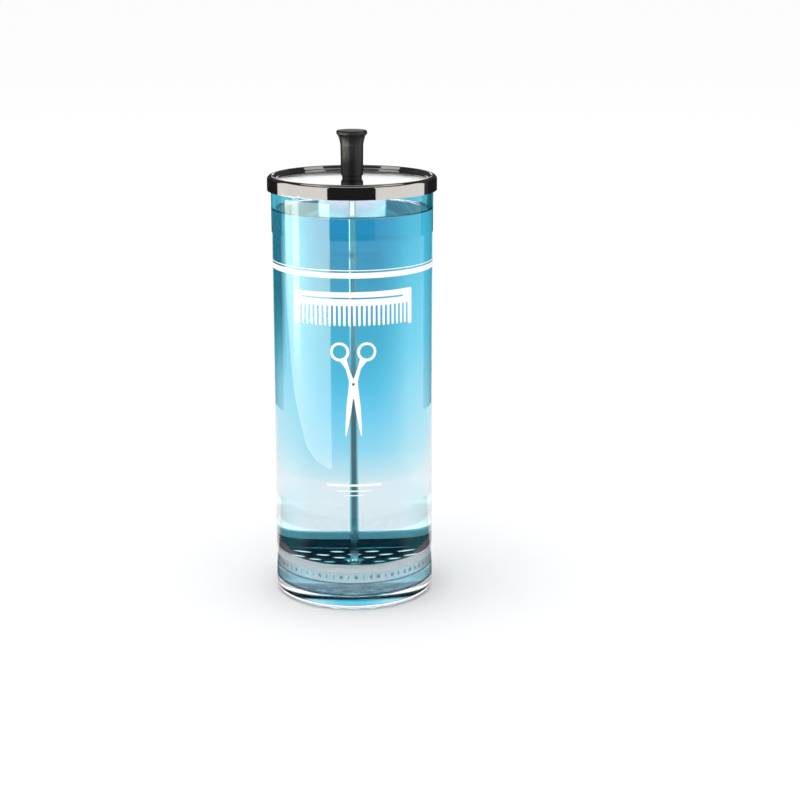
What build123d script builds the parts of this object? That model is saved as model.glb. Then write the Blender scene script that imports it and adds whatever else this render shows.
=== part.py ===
from build123d import *
import math
import os

os.makedirs("parts", exist_ok=True)

# Disinfectant jar for a salon station: a straight clear jar, a pressed lid that
# caps it, and a lift (knob, rod and perforated tray) that slides through the lid.
# Millimetres, +Z up. The origin is the centre of the jar's underside, on the
# surface it stands on. Every piece is turned about Z except the hexagons.

# ---------------------------------------------------------------- jar
jar_od = 101.6              # 4 in. outside diameter
jar_wall = 2.5
jar_floor = 8.0             # thick solid base
jar_height = 265.6          # underside to rim
jar_foot_round = 3.6        # outer edge of the base
jar_heel_round = 2.4        # inner corner of the base
jar_rim_round = 0.9

# ---------------------------------------------------------------- lid
lid_od = 106.3
lid_sheet = 0.8
lid_top = 270.0             # crest of the raised rim bead
lid_panel = 268.0           # flat panel inside the bead
lid_skirt_bottom = 261.0
bead_inner_r = 47.4         # foot of the bead on the panel
bead_crest_r = 49.4
lid_hole_r = 4.90

# ---------------------------------------------------------------- lid liner (gasket)
liner_inner_r = 44.5
liner_outer_r = 52.1
liner_rib_inner_r = 49.9
liner_rib_outer_r = 51.5
liner_rib_top = 268.9

# ---------------------------------------------------------------- guide bushing
bushing_barrel_r = 4.82     # runs in the lid hole with 0.08 clearance
bushing_bore_r = 2.16       # rod runs in it with 0.08 clearance
bushing_flange_r = 6.2
bushing_flange_h = 1.0
bushing_bottom = 256.0
clip_outer_r = 7.6
clip_thickness = 0.5
clip_top = 267.15
clip_teeth = 6

# ---------------------------------------------------------------- rod
rod_r = 2.08                # No. 8 rod, threaded at both ends
rod_bottom = 11.4
rod_top = 281.6
thread_root = 0.12          # depth of the relief groove at each thread's end

# ---------------------------------------------------------------- knob
knob_washer_r = 6.3
knob_washer_t = 0.8
knob_bottom = lid_panel + bushing_flange_h + knob_washer_t      # 269.8
knob_top = 297.5
knob_base_r = 6.95
knob_neck_r = 7.15
knob_neck_z = 288.1
knob_mid_r = 8.65
knob_mid_z = 294.1
knob_head_r = 9.60
knob_head_z = 295.7
knob_edge_round = 0.9
insert_r = 3.9
insert_top = 281.6

# ---------------------------------------------------------------- tray
tray_top = 17.0             # upper face of the plate
tray_sheet = 1.0
tray_rim_r = 46.6           # outside of the upturned rim
tray_rim_top = 27.4
tray_bend = 2.0             # outer bend radius
tray_hole_r = 3.3
tray_rings = ((8.0, 4, 0.0), (15.8, 8, 0.0), (23.7, 12, 15.0), (31.7, 16, 0.0), (39.8, 20, 9.0))

ring_outer_r = 47.5         # 0.8 clear of the jar wall
ring_inner_r = 44.7
ring_bottom = 23.9
ring_top = 29.0

# ---------------------------------------------------------------- fasteners, No. 8
washer_r = 4.75
washer_t = 0.8
washer_hole_r = 2.13
nut_af = 8.73
nut_h = 3.3
cap_nut_h = 5.2

lid_r = lid_od / 2
jar_r = jar_od / 2
jar_ri = jar_r - jar_wall


# ================================================================ jar body
with BuildPart() as jar_body:
    with BuildSketch(Plane.XZ) as jar_profile:
        with BuildLine():
            Polyline(
                (0, 0),
                (jar_r, 0),
                (jar_r, jar_height),
                (jar_ri, jar_height),
                (jar_ri, jar_floor),
                (0, jar_floor),
                close=True,
            )
        make_face()
        foot = jar_profile.vertices().filter_by(lambda v: abs(v.X - jar_r) < 1e-3 and v.Y < 1)
        fillet(foot, jar_foot_round)
        heel = jar_profile.vertices().filter_by(
            lambda v: abs(v.X - jar_ri) < 1e-3 and abs(v.Y - jar_floor) < 1e-3
        )
        fillet(heel, jar_heel_round)
        rim = jar_profile.vertices().filter_by(lambda v: abs(v.Y - jar_height) < 1e-3)
        fillet(rim, jar_rim_round)
    revolve(axis=Axis.Z)
jar_body.part.label = "jar_body"
export_step(jar_body.part, "parts/jar_body.step")


# ================================================================ lid shell
# one pressed sheet: flat panel, raised bead round the edge, straight skirt
with BuildPart() as lid_shell:
    with BuildSketch(Plane.XZ):
        with BuildLine():
            FilletPolyline(
                (lid_hole_r, lid_panel),
                (bead_inner_r, lid_panel),
                (bead_crest_r, lid_top),
                (lid_r, lid_top),
                (lid_r, lid_skirt_bottom),
                radius=(1.6, 1.6, 2.6),
            )
            offset(amount=lid_sheet, side=Side.RIGHT, closed=True)
        make_face()
    revolve(axis=Axis.Z)
    skirt_edges = lid_shell.edges().filter_by(GeomType.CIRCLE).group_by(Axis.Z)[0]
    fillet(skirt_edges, 0.3)
lid_shell.part.label = "lid_shell"
export_step(lid_shell.part, "parts/lid_shell.step")


# ================================================================ lid liner
# soft ring that seals the jar's rim; its rib stands up into the lid's bead
liner_bottom = jar_height
liner_flat_top = lid_panel - lid_sheet
with BuildPart() as lid_liner:
    with BuildSketch(Plane.XZ):
        with BuildLine():
            Polyline(
                (liner_inner_r, liner_bottom),
                (liner_outer_r, liner_bottom),
                (liner_outer_r, liner_flat_top),
                (liner_rib_outer_r, liner_flat_top),
                (liner_rib_outer_r, liner_rib_top),
                (liner_rib_inner_r, liner_rib_top),
                (liner_rib_inner_r, liner_flat_top),
                (liner_inner_r, liner_flat_top),
                close=True,
            )
        make_face()
    revolve(axis=Axis.Z)
    fillet(lid_liner.edges().filter_by(GeomType.CIRCLE).group_by(Axis.Z)[-1], 0.3)
lid_liner.part.label = "lid_liner"
export_step(lid_liner.part, "parts/lid_liner.step")


# ================================================================ guide bushing
# flanged nylon sleeve through the middle of the lid; it can turn in the lid
with BuildPart() as rod_bushing:
    with BuildSketch(Plane.XZ) as bushing_profile:
        with BuildLine():
            Polyline(
                (bushing_bore_r, bushing_bottom),
                (bushing_barrel_r, bushing_bottom),
                (bushing_barrel_r, lid_panel),
                (bushing_flange_r, lid_panel),
                (bushing_flange_r, lid_panel + bushing_flange_h),
                (bushing_bore_r, lid_panel + bushing_flange_h),
                close=True,
            )
        make_face()
        lower = bushing_profile.vertices().filter_by(
            lambda v: abs(v.Y - bushing_bottom) < 1e-3 and v.X > bushing_bore_r + 1
        )
        chamfer(lower, 0.8)
        upper = bushing_profile.vertices().filter_by(
            lambda v: v.Y > lid_panel + 0.5 and v.X > bushing_bore_r + 1
        )
        fillet(upper, 0.4)
    revolve(axis=Axis.Z)
rod_bushing.part.label = "rod_bushing"
export_step(rod_bushing.part, "parts/rod_bushing.step")


# ================================================================ bushing clip
# push-on spring ring that holds the bushing up against the panel, with cut teeth
with BuildPart() as bushing_clip:
    with BuildSketch(Plane.XY.offset(clip_top - clip_thickness)):
        Circle(clip_outer_r)
        Circle(bushing_barrel_r + 0.02, mode=Mode.SUBTRACT)
        with PolarLocations(bushing_barrel_r + 0.5, clip_teeth):
            SlotCenterToCenter(1.4, 0.8, mode=Mode.SUBTRACT)
    extrude(amount=clip_thickness)
bushing_clip.part.label = "bushing_clip"
export_step(bushing_clip.part, "parts/bushing_clip.step")


# ================================================================ lift rod
with BuildPart() as lift_rod:
    with BuildSketch(Plane.XZ):
        with BuildLine():
            Polyline(
                (0, rod_bottom),
                (rod_r - 0.4, rod_bottom),
                (rod_r, rod_bottom + 0.4),
                (rod_r, 22.4),
                (rod_r - thread_root, 22.5),
                (rod_r - thread_root, 23.0),
                (rod_r, 23.1),
                (rod_r, rod_top - 0.4),
                (rod_r - 0.4, rod_top),
                (0, rod_top),
                close=True,
            )
        make_face()
    revolve(axis=Axis.Z)
lift_rod.part.label = "lift_rod"
export_step(lift_rod.part, "parts/lift_rod.step")


# ================================================================ knob grip
# moulded knob: slim neck that flares into a round head, with a socket below
with BuildPart() as knob_grip:
    with BuildSketch(Plane.XZ) as knob_profile:
        with BuildLine():
            neck = Line((knob_base_r, knob_bottom), (knob_neck_r, knob_neck_z))
            flare = Spline(
                (knob_neck_r, knob_neck_z),
                (knob_mid_r, knob_mid_z),
                (knob_head_r, knob_head_z),
                tangents=((0.02, 1.0), (0.25, 1.0)),
            )
            Line((knob_head_r, knob_head_z), (knob_head_r, knob_top - knob_edge_round))
            ThreePointArc(
                (knob_head_r, knob_top - knob_edge_round),
                (
                    knob_head_r - knob_edge_round * (1 - math.sqrt(0.5)),
                    knob_top - knob_edge_round * (1 - math.sqrt(0.5)),
                ),
                (knob_head_r - knob_edge_round, knob_top),
            )
            Line((knob_head_r - knob_edge_round, knob_top), (0, knob_top))
            Line((0, knob_top), (0, insert_top))
            Line((0, insert_top), (insert_r + 0.02, insert_top))
            Line((insert_r + 0.02, insert_top), (insert_r + 0.02, knob_bottom))
            Line((insert_r + 0.02, knob_bottom), (knob_base_r, knob_bottom))
        make_face()
    revolve(axis=Axis.Z)
    foot_edge = (
        knob_grip.edges()
        .filter_by(GeomType.CIRCLE)
        .group_by(Axis.Z)[0]
        .sort_by(SortBy.RADIUS)[-1]
    )
    fillet(foot_edge, 0.35)
knob_grip.part.label = "knob_grip"
export_step(knob_grip.part, "parts/knob_grip.step")


# ================================================================ knob insert
# brass sleeve moulded into the knob, with two knurl grooves
with BuildPart() as knob_insert:
    with BuildSketch(Plane.XZ):
        with BuildLine():
            Polyline(
                (rod_r + 0.02, knob_bottom),
                (insert_r, knob_bottom),
                (insert_r, knob_bottom + 3.6),
                (insert_r - 0.5, knob_bottom + 3.9),
                (insert_r - 0.5, knob_bottom + 4.7),
                (insert_r, knob_bottom + 5.0),
                (insert_r, insert_top - 3.4),
                (insert_r - 0.5, insert_top - 3.1),
                (insert_r - 0.5, insert_top - 2.3),
                (insert_r, insert_top - 2.0),
                (insert_r, insert_top),
                (rod_r + 0.02, insert_top),
                close=True,
            )
        make_face()
    revolve(axis=Axis.Z)
knob_insert.part.label = "knob_insert"
export_step(knob_insert.part, "parts/knob_insert.step")


# ================================================================ knob washer
with BuildPart() as knob_washer:
    with BuildSketch(Plane.XY.offset(lid_panel + bushing_flange_h)):
        Circle(knob_washer_r)
        Circle(washer_hole_r, mode=Mode.SUBTRACT)
    extrude(amount=knob_washer_t)
    chamfer(knob_washer.edges().filter_by(GeomType.CIRCLE).sort_by(SortBy.RADIUS)[-2:], 0.15)
knob_washer.part.label = "knob_washer"
export_step(knob_washer.part, "parts/knob_washer.step")


# ================================================================ tray
# pressed stainless pan: flat perforated plate with an upturned rim
with BuildPart() as tray:
    with BuildSketch(Plane.XZ):
        with BuildLine():
            FilletPolyline(
                (washer_hole_r, tray_top - tray_sheet),
                (tray_rim_r, tray_top - tray_sheet),
                (tray_rim_r, tray_rim_top),
                radius=tray_bend,
            )
            offset(amount=tray_sheet, side=Side.LEFT, closed=True)
        make_face()
    revolve(axis=Axis.Z)
    with BuildSketch(Plane.XY.offset(tray_top + 1)):
        for ring_r, count, start in tray_rings:
            with PolarLocations(ring_r, count, start_angle=start):
                Circle(tray_hole_r)
    extrude(amount=-(tray_sheet + 2), mode=Mode.SUBTRACT)
tray.part.label = "tray"
export_step(tray.part, "parts/tray.step")


# ================================================================ tray rim ring
# white moulded edging pressed down over the top of the tray's rim
with BuildPart() as tray_rim_ring:
    with BuildSketch(Plane.XZ) as ring_profile:
        with BuildLine():
            Polyline(
                (ring_inner_r, ring_bottom),
                (tray_rim_r - tray_sheet, ring_bottom),
                (tray_rim_r - tray_sheet, tray_rim_top),
                (tray_rim_r, tray_rim_top),
                (tray_rim_r, ring_bottom),
                (ring_outer_r, ring_bottom),
                (ring_outer_r, ring_top),
                (ring_inner_r, ring_top),
                close=True,
            )
        make_face()
        tips = ring_profile.vertices().filter_by(lambda v: abs(v.Y - ring_top) < 1e-3)
        fillet(tips, 0.9)
    revolve(axis=Axis.Z)
tray_rim_ring.part.label = "tray_rim_ring"
export_step(tray_rim_ring.part, "parts/tray_rim_ring.step")


# ================================================================ tray washers
with BuildPart() as tray_washer_upper:
    with BuildSketch(Plane.XY.offset(tray_top)):
        Circle(washer_r)
        Circle(washer_hole_r, mode=Mode.SUBTRACT)
    extrude(amount=washer_t)
    chamfer(tray_washer_upper.edges().filter_by(GeomType.CIRCLE).sort_by(SortBy.RADIUS)[-2:], 0.12)
tray_washer_upper.part.label = "tray_washer_upper"
export_step(tray_washer_upper.part, "parts/tray_washer_upper.step")

tray_bottom = tray_top - tray_sheet
with BuildPart() as tray_washer_lower:
    with BuildSketch(Plane.XY.offset(tray_bottom - washer_t)):
        Circle(washer_r)
        Circle(washer_hole_r, mode=Mode.SUBTRACT)
    extrude(amount=washer_t)
    chamfer(tray_washer_lower.edges().filter_by(GeomType.CIRCLE).sort_by(SortBy.RADIUS)[-2:], 0.12)
tray_washer_lower.part.label = "tray_washer_lower"
export_step(tray_washer_lower.part, "parts/tray_washer_lower.step")


# ================================================================ tray nut
# hexagon nut above the tray, its corners turned off at both ends
nut_bottom = tray_top + washer_t
nut_corner_r = nut_af / math.sqrt(3)
with BuildPart() as tray_nut:
    with BuildSketch(Plane.XY.offset(nut_bottom)):
        RegularPolygon(nut_af / 2, 6, major_radius=False)
        Circle(rod_r + 0.02, mode=Mode.SUBTRACT)
    extrude(amount=nut_h)
    with BuildSketch(Plane.XZ):
        with BuildLine():
            Polyline(
                (0, nut_bottom),
                (nut_af / 2 - 0.05, nut_bottom),
                (nut_corner_r + 0.05, nut_bottom + 0.5),
                (nut_corner_r + 0.05, nut_bottom + nut_h - 0.5),
                (nut_af / 2 - 0.05, nut_bottom + nut_h),
                (0, nut_bottom + nut_h),
                close=True,
            )
        make_face()
    revolve(axis=Axis.Z, mode=Mode.INTERSECT)
tray_nut.part.label = "tray_nut"
export_step(tray_nut.part, "parts/tray_nut.step")


# ================================================================ tray cap nut
# closed nut under the tray, so no bare thread shows, with a domed end
cap_top = tray_bottom - washer_t
cap_bottom = cap_top - cap_nut_h
with BuildPart() as tray_cap_nut:
    with BuildSketch(Plane.XY.offset(cap_bottom)):
        RegularPolygon(nut_af / 2, 6, major_radius=False)
    extrude(amount=cap_nut_h)
    with BuildSketch(Plane.XZ):
        with BuildLine():
            Line((0, cap_bottom), (0, cap_top))
            Line((0, cap_top), (nut_af / 2 - 0.05, cap_top))
            Line((nut_af / 2 - 0.05, cap_top), (nut_corner_r + 0.05, cap_top - 0.5))
            Line((nut_corner_r + 0.05, cap_top - 0.5), (nut_corner_r + 0.05, cap_top - 2.6))
            Line((nut_corner_r + 0.05, cap_top - 2.6), (3.9, cap_top - 3.3))
            ThreePointArc(
                (3.9, cap_top - 3.3),
                (2.7, cap_bottom + 0.55),
                (0, cap_bottom),
            )
        make_face()
    revolve(axis=Axis.Z, mode=Mode.INTERSECT)
    with BuildSketch(Plane.XY.offset(cap_top)):
        Circle(rod_r + 0.02)
    extrude(amount=-(cap_top - rod_bottom), mode=Mode.SUBTRACT)
tray_cap_nut.part.label = "tray_cap_nut"
export_step(tray_cap_nut.part, "parts/tray_cap_nut.step")
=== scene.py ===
import math

import bmesh
import bpy
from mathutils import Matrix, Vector


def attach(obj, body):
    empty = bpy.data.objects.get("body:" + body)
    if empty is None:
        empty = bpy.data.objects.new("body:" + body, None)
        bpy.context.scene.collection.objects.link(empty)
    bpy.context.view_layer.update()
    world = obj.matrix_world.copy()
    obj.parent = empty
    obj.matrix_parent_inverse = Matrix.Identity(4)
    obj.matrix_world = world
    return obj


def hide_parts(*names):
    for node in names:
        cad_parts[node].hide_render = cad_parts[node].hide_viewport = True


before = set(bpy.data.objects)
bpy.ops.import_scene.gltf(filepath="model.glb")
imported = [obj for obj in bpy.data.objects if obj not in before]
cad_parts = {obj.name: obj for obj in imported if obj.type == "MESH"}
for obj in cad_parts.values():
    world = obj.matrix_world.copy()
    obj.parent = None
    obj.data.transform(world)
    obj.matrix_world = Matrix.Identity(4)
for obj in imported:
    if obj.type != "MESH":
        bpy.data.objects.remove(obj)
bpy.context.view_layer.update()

MM = 0.001
scene = bpy.context.scene


# =====================================================================================
# profile and lathe tools: profiles are (r, z) in mm with a normal at each point
# =====================================================================================
def seg_line(a, b, n=1):
    """Straight run from a to b with the normal on its right-hand side."""
    d = Vector((b[0] - a[0], b[1] - a[1]))
    d.normalize()
    nrm = (d.y, -d.x)
    pts = [(a[0] + (b[0] - a[0]) * i / n, a[1] + (b[1] - a[1]) * i / n) for i in range(n + 1)]
    return [(p, nrm) for p in pts]


def seg_arc(c, r, a0, a1, n=10, flip=False):
    """Arc round c from angle a0 to a1 (degrees), its normal pointing away from c, or towards it."""
    out = []
    for i in range(n + 1):
        a = math.radians(a0 + (a1 - a0) * i / n)
        nr = (math.cos(a), math.sin(a))
        p = (c[0] + r * nr[0], c[1] + r * nr[1])
        out.append((p, (-nr[0], -nr[1]) if flip else nr))
    return out


def fillet_path(points, radii, closed=False, n=10):
    """Runs along points with each corner rounded by its radius (0 leaves it sharp). Normals lie on the right of the path."""
    m = len(points)
    segs = []
    ends = []
    for i in range(m):
        p = Vector(points[i])
        r = radii[i]
        if (not closed and i in (0, m - 1)) or r <= 0:
            ends.append((p, p, None))
            continue
        a = Vector(points[i - 1])
        b = Vector(points[(i + 1) % m])
        u, v = (a - p).normalized(), (b - p).normalized()
        ang = math.acos(max(-1, min(1, u.dot(v))))
        t = r / math.tan(ang / 2)
        s, e = p + u * t, p + v * t
        c = p + (u + v).normalized() * (r / math.sin(ang / 2))
        turn = (p - a).x * (b - p).y - (p - a).y * (b - p).x
        a0 = math.degrees(math.atan2(s.y - c.y, s.x - c.x))
        a1 = math.degrees(math.atan2(e.y - c.y, e.x - c.x))
        if turn > 0:  # left turn: centre on the left, normals (right side) point away from c
            while a1 < a0:
                a1 += 360
            arc = seg_arc((c.x, c.y), r, a0, a1, n, False)
        else:
            while a1 > a0:
                a1 -= 360
            arc = seg_arc((c.x, c.y), r, a0, a1, n, True)
        ends.append((s, e, arc))
    last = m if closed else m - 1
    for i in range(m):
        if ends[i][2]:
            segs.append(ends[i][2])
        if i < last:
            a, b = ends[i][1], ends[(i + 1) % m][0]
            if (b - a).length > 1e-6:
                segs.append(seg_line((a.x, a.y), (b.x, b.y)))
    return segs


def support(segs, gap=0.35):
    """Splits long straight runs near their ends, so that shading near a bend stays even."""
    out = []
    for s in segs:
        if len(s) == 2:
            (a, n), (b, _) = s
            length = math.hypot(b[0] - a[0], b[1] - a[1])
            if length > 4 * gap:
                k = gap / length
                m1 = (a[0] + (b[0] - a[0]) * k, a[1] + (b[1] - a[1]) * k)
                m2 = (b[0] - (b[0] - a[0]) * k, b[1] - (b[1] - a[1]) * k)
                steps = max(1, int(length / 12))
                pts = [a] + [
                    (m1[0] + (m2[0] - m1[0]) * i / steps, m1[1] + (m2[1] - m1[1]) * i / steps)
                    for i in range(steps + 1)
                ] + [b]
                out.append([(p, n) for p in pts])
                continue
        out.append(s)
    return out


def lathe(name, segs, count=192, closed=True, a0=0.0, a1=360.0):
    """Turns the profile about Z. Points on the axis become one vertex. Every loop gets its exact normal."""
    segs = support(segs)
    ring_pts = []
    runs = []  # (index of first, index of second, normal first, normal second)

    def index_of(p):
        if ring_pts and math.hypot(ring_pts[-1][0] - p[0], ring_pts[-1][1] - p[1]) < 1e-5:
            return len(ring_pts) - 1
        if closed and ring_pts and math.hypot(ring_pts[0][0] - p[0], ring_pts[0][1] - p[1]) < 1e-5:
            return 0
        ring_pts.append(p)
        return len(ring_pts) - 1

    for s in segs:
        prev = index_of(s[0][0])
        for k in range(1, len(s)):
            cur = index_of(s[k][0])
            if cur != prev:
                runs.append((prev, cur, s[k - 1][1], s[k][1]))
            prev = cur
    full = abs(a1 - a0 - 360) < 1e-6
    cols = count if full else count + 1
    verts, where = [], {}
    for i, (r, z) in enumerate(ring_pts):
        if r < 1e-6:
            where[i] = [len(verts)] * cols
            verts.append((0, 0, z * MM))
        else:
            row = []
            for j in range(cols):
                a = math.radians(a0 + (a1 - a0) * j / count)
                row.append(len(verts))
                verts.append((r * MM * math.cos(a), r * MM * math.sin(a), z * MM))
            where[i] = row
    faces, normals = [], []
    for i0, i1, n0, n1 in runs:
        for j in range(count):
            k = (j + 1) % cols
            aj = math.radians(a0 + (a1 - a0) * j / count)
            ak = math.radians(a0 + (a1 - a0) * (j + 1) / count)
            quad = [(i0, j, n0, aj), (i0, k, n0, ak), (i1, k, n1, ak), (i1, j, n1, aj)]
            ids, nn = [], []
            for i, jj, n, a in quad:
                v = where[i][jj]
                if v in ids:
                    continue
                ids.append(v)
                nn.append((n[0] * math.cos(a), n[0] * math.sin(a), n[1]))
            if len(ids) < 3:
                continue
            faces.append(ids)
            normals.extend(nn)
    me = bpy.data.meshes.new(name)
    me.from_pydata(verts, [], faces)
    me.polygons.foreach_set("use_smooth", [True] * len(me.polygons))
    me.update()
    me.normals_split_custom_set([Vector(n).normalized() for n in normals])
    obj = bpy.data.objects.new(name, me)
    scene.collection.objects.link(obj)
    return obj


def put(obj, body, node=None, mat=None):
    if mat is not None:
        obj.data.materials.clear()
        obj.data.materials.append(mat)
    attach(obj, body)
    if node:
        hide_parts(*([node] if isinstance(node, str) else node))
    return obj


# =====================================================================================
# materials
# =====================================================================================
def new_mat(name):
    m = bpy.data.materials.new(name)
    m.use_nodes = True
    nt = m.node_tree
    for n in list(nt.nodes):
        nt.nodes.remove(n)
    out = nt.nodes.new("ShaderNodeOutputMaterial")
    b = nt.nodes.new("ShaderNodeBsdfPrincipled")
    nt.links.new(b.outputs[0], out.inputs[0])
    return m, nt, b, out


def node(nt, kind, **values):
    n = nt.nodes.new(kind)
    for k, v in values.items():
        if k.startswith("in_"):
            n.inputs[k[3:].replace("_", " ")].default_value = v
        else:
            setattr(n, k, v)
    return n


def ramp(nt, src, stops):
    r = nt.nodes.new("ShaderNodeValToRGB")
    el = r.color_ramp.elements
    while len(el) < len(stops):
        el.new(0.5)
    for e, (p, c) in zip(el, stops):
        e.position = p
        e.color = (*c, 1) if len(c) == 3 else c
    nt.links.new(src, r.inputs[0])
    return r


def noise(nt, coord, scale, detail=3.0, rough=0.5):
    n = nt.nodes.new("ShaderNodeTexNoise")
    n.inputs["Scale"].default_value = scale
    n.inputs["Detail"].default_value = detail
    n.inputs["Roughness"].default_value = rough
    nt.links.new(coord, n.inputs["Vector"])
    return n


def bump(nt, height, strength, distance, bsdf):
    b = nt.nodes.new("ShaderNodeBump")
    b.inputs["Strength"].default_value = strength
    b.inputs["Distance"].default_value = distance
    nt.links.new(height, b.inputs["Height"])
    nt.links.new(b.outputs[0], bsdf.inputs["Normal"])
    return b


def mapped(nt, scale=(1, 1, 1)):
    tc = nt.nodes.new("ShaderNodeTexCoord")
    mp = nt.nodes.new("ShaderNodeMapping")
    mp.inputs["Scale"].default_value = scale
    nt.links.new(tc.outputs["Object"], mp.inputs["Vector"])
    return mp.outputs[0]


def clear_plastic():
    m, nt, b, out = new_mat("clear_polycarbonate")
    b.inputs["Base Color"].default_value = (0.985, 0.995, 1.0, 1)
    b.inputs["Transmission Weight"].default_value = 1.0
    b.inputs["IOR"].default_value = 1.49
    co = mapped(nt)
    hair = noise(nt, co, 900.0, 2.0)
    r = ramp(nt, hair.outputs["Fac"], [(0.0, (0.0, 0.0, 0.0)), (0.66, (0.004, 0.004, 0.004)), (1.0, (0.03, 0.03, 0.03))])
    nt.links.new(r.outputs[0], b.inputs["Roughness"])
    wave = noise(nt, mapped(nt, (1, 1, 0.25)), 18.0, 1.0)
    bump(nt, wave.outputs["Fac"], 0.02, 0.001, b)
    return m


def solution():
    m, nt, b, out = new_mat("blue_solution")
    b.inputs["Base Color"].default_value = (1, 1, 1, 1)
    b.inputs["Transmission Weight"].default_value = 1.0
    b.inputs["IOR"].default_value = 1.345
    b.inputs["Roughness"].default_value = 0.0
    va = nt.nodes.new("ShaderNodeVolumeAbsorption")
    va.inputs["Color"].default_value = (0.027, 0.793, 0.903, 1)
    va.inputs["Density"].default_value = 8.0
    nt.links.new(va.outputs[0], out.inputs["Volume"])
    co = mapped(nt)
    ripple = noise(nt, co, 40.0, 2.0)
    bump(nt, ripple.outputs["Fac"], 0.015, 0.001, b)
    return m


def mirror_steel(name="mirror_steel", rough=(0.012, 0.035), colour=(0.80, 0.79, 0.775)):
    m, nt, b, out = new_mat(name)
    b.inputs["Metallic"].default_value = 1.0
    co = mapped(nt)
    patch = noise(nt, co, 22.0, 4.0, 0.6)
    c = ramp(nt, patch.outputs["Fac"], [(0.25, tuple(x * 0.93 for x in colour)), (0.75, colour)])
    nt.links.new(c.outputs[0], b.inputs["Base Color"])
    hair = noise(nt, mapped(nt, (1, 1, 14)), 160.0, 5.0, 0.65)
    r = ramp(nt, hair.outputs["Fac"], [(0.3, (rough[0],) * 3), (0.8, (rough[1],) * 3)])
    nt.links.new(r.outputs[0], b.inputs["Roughness"])
    bump(nt, hair.outputs["Fac"], 0.04, 0.00012, b)
    return m


def satin_steel(name="satin_steel", colour=(0.62, 0.64, 0.65), rough=(0.18, 0.34), stretch=(1, 1, 30)):
    m, nt, b, out = new_mat(name)
    b.inputs["Metallic"].default_value = 1.0
    grain = noise(nt, mapped(nt, stretch), 220.0, 6.0, 0.7)
    c = ramp(nt, grain.outputs["Fac"], [(0.25, tuple(x * 0.82 for x in colour)), (0.8, colour)])
    nt.links.new(c.outputs[0], b.inputs["Base Color"])
    r = ramp(nt, grain.outputs["Fac"], [(0.2, (rough[0],) * 3), (0.85, (rough[1],) * 3)])
    nt.links.new(r.outputs[0], b.inputs["Roughness"])
    bump(nt, grain.outputs["Fac"], 0.12, 0.00015, b)
    return m


def moulded(name, colour, vary=0.9, rough=(0.3, 0.45), scale=350.0, depth=0.00006, strength=0.25, spec=0.5):
    m, nt, b, out = new_mat(name)
    b.inputs["Specular IOR Level"].default_value = spec
    co = mapped(nt)
    g = noise(nt, co, scale, 4.0, 0.6)
    big = noise(nt, co, 30.0, 3.0, 0.5)
    c = ramp(nt, big.outputs["Fac"], [(0.3, tuple(x * vary for x in colour)), (0.72, colour)])
    nt.links.new(c.outputs[0], b.inputs["Base Color"])
    r = ramp(nt, g.outputs["Fac"], [(0.25, (rough[0],) * 3), (0.75, (rough[1],) * 3)])
    nt.links.new(r.outputs[0], b.inputs["Roughness"])
    bump(nt, g.outputs["Fac"], strength, depth, b)
    return m


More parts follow.
